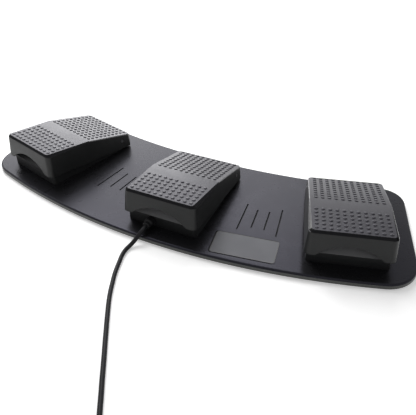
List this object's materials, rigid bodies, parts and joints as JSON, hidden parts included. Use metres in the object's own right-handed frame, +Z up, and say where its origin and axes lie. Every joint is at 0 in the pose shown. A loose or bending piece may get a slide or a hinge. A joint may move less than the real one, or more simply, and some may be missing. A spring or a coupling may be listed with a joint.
{
  "type": "usb foot pedal switch",
  "caption": "Arc-shaped plate with fanned rocking foot pedals over microswitches, a gland and a thin cable that ends in a USB plug.",
  "frame": {"origin": "under the middle of the plate's box, on the surface that the feet stand on", "axes": "+X along the plate to the right as seen from the cable's side, +Y towards the hinges, +Z up"},
  "size_m": [0.396, 0.3601, 0.038],
  "materials": {
    "plate_plastic": "satin black moulded plate",
    "sheet": "plain black sheet",
    "screw_steel": "zinc plated",
    "rubber": "soft black rubber",
    "housing_plastic": "dark moulded plastic",
    "pin_steel": "ground steel",
    "cover_plastic": "fine-grained charcoal moulding",
    "spring_steel": "bright spring wire",
    "switch_plastic": "dark phenolic",
    "plunger_plastic": "red nylon",
    "terminal_brass": "tinned brass",
    "board": "green solder mask",
    "board_blocks": "black epoxy",
    "lead": "thin insulated wire",
    "cable_jacket": "soft black jacket",
    "tie": "flat black strap",
    "plug_plastic": "black overmould",
    "plug_steel": "nickel plated",
    "tongue_plastic": "white plastic",
    "gold": "gold flashed"
  },
  "bodies": {
    "base": {"base_plate": "plate_plastic", "bottom_sheet": "sheet", "sheet_screws": "screw_steel", "rubber_feet": "rubber", "housing_left": "housing_plastic", "housing_centre": "housing_plastic", "housing_right": "housing_plastic", "housing_screws": "screw_steel", "hinge_pin_left": "pin_steel", "hinge_pin_centre": "pin_steel", "hinge_pin_right": "pin_steel", "return_spring_left": "spring_steel", "return_spring_centre": "spring_steel", "return_spring_right": "spring_steel", "switch_body_left": "switch_plastic", "switch_body_centre": "switch_plastic", "switch_body_right": "switch_plastic", "switch_terminals": "terminal_brass", "controller_board": "board", "board_parts": "board_blocks", "board_screws": "screw_steel", "lead_left": "lead", "lead_right": "lead", "lead_centre": "lead", "cable_inner": "cable_jacket", "cable_gland": "cable_jacket", "cable": "cable_jacket", "cable_coil": "cable_jacket", "plug_lead": "cable_jacket", "coil_tie": "tie", "plug_overmould": "plug_plastic", "plug_shell": "plug_steel", "plug_tongue": "tongue_plastic", "plug_contacts": "gold"},
    "pedal_left": {"pedal_cover_left": "cover_plastic"},
    "plunger_left": {"switch_plunger_left": "plunger_plastic"},
    "pedal_centre": {"pedal_cover_centre": "cover_plastic"},
    "plunger_centre": {"switch_plunger_centre": "plunger_plastic"},
    "pedal_right": {"pedal_cover_right": "cover_plastic"},
    "plunger_right": {"switch_plunger_right": "plunger_plastic"}
  },
  "joints": [
    {"name": "pedal_left_hinge", "type": "hinge", "parent": "base", "child": "pedal_left", "pos_m": [-0.12698, 0.04102, 0.0164], "axis": [0.9646, -0.2639, 0], "range_deg": [0, 4.5], "stiffness_Nm_per_rad": 4, "springref_deg": -8.59, "deforming": ["return_spring_left"]},
    {"name": "plunger_left_slide", "type": "slide", "parent": "base", "child": "plunger_left", "axis": [0, 0, -1], "range_m": [0, 0.0012]},
    {"name": "pedal_centre_hinge", "type": "hinge", "parent": "base", "child": "pedal_centre", "pos_m": [0, 0.02396, 0.0164], "axis": [1, 0, 0], "range_deg": [0, 4.5], "stiffness_Nm_per_rad": 4, "springref_deg": -8.59, "deforming": ["return_spring_centre"]},
    {"name": "plunger_centre_slide", "type": "slide", "parent": "base", "child": "plunger_centre", "axis": [0, 0, -1], "range_m": [0, 0.0012]},
    {"name": "pedal_right_hinge", "type": "hinge", "parent": "base", "child": "pedal_right", "pos_m": [0.12698, 0.04102, 0.0164], "axis": [0.9646, 0.2639, 0], "range_deg": [0, 4.5], "stiffness_Nm_per_rad": 4, "springref_deg": -8.59, "deforming": ["return_spring_right"]},
    {"name": "plunger_right_slide", "type": "slide", "parent": "base", "child": "plunger_right", "axis": [0, 0, -1], "range_m": [0, 0.0012]}
  ],
  "couplings": [
    {"joint": "plunger_left_slide", "follows": "pedal_left_hinge", "m_per_rad": 0.014},
    {"joint": "plunger_centre_slide", "follows": "pedal_centre_hinge", "m_per_rad": 0.014},
    {"joint": "plunger_right_slide", "follows": "pedal_right_hinge", "m_per_rad": 0.014}
  ]
}
